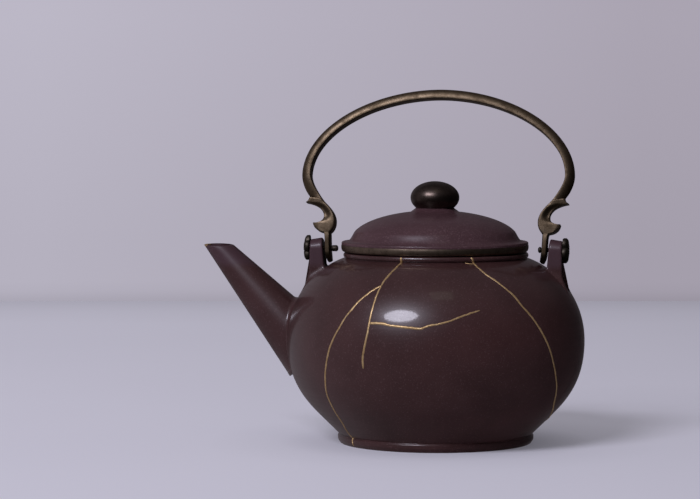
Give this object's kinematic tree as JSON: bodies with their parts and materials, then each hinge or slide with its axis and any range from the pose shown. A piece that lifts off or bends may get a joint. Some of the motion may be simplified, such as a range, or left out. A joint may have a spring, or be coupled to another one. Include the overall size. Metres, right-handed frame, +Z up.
{
  "type": "teapot",
  "caption": "Round dark stoneware teapot mended with gold seams, with a straight spout, a domed lid with metal rim and knob, and a brass bail handle that swings on pins.",
  "frame": {"origin": "centre of the flat underside of the foot, on the pot's turning axis", "axes": "+Z up along the pot's turning axis; the spout points along -X; +Y is away from the picture's camera"},
  "size_m": [0.1814, 0.14, 0.166],
  "materials": {
    "burnished_clay": "burnished dark purple-brown stoneware with gold mended seams",
    "lid_clay": "burnished dark purple-brown stoneware with fine pale specks",
    "rim_brass": "darkened satin brass",
    "knob_bronze": "dark polished bronze",
    "handle_brass": "antique satin brass, dark in the hollows",
    "pin_bronze": "antique satin brass"
  },
  "bodies": {
    "pot": {"teapot_body": "burnished_clay", "lid": "lid_clay", "lid_rim_band": "rim_brass", "lid_knob": "knob_bronze", "left_rosette_pin": "pin_bronze", "right_rosette_pin": "pin_bronze"},
    "handle": {"bail_handle": "handle_brass"}
  },
  "joints": [
    {"name": "handle_swing", "type": "hinge", "parent": "pot", "child": "handle", "pos_m": [0, 0, 0.091], "axis": [1, 0, 0], "range_deg": [-92.5, 113.5]}
  ]
}
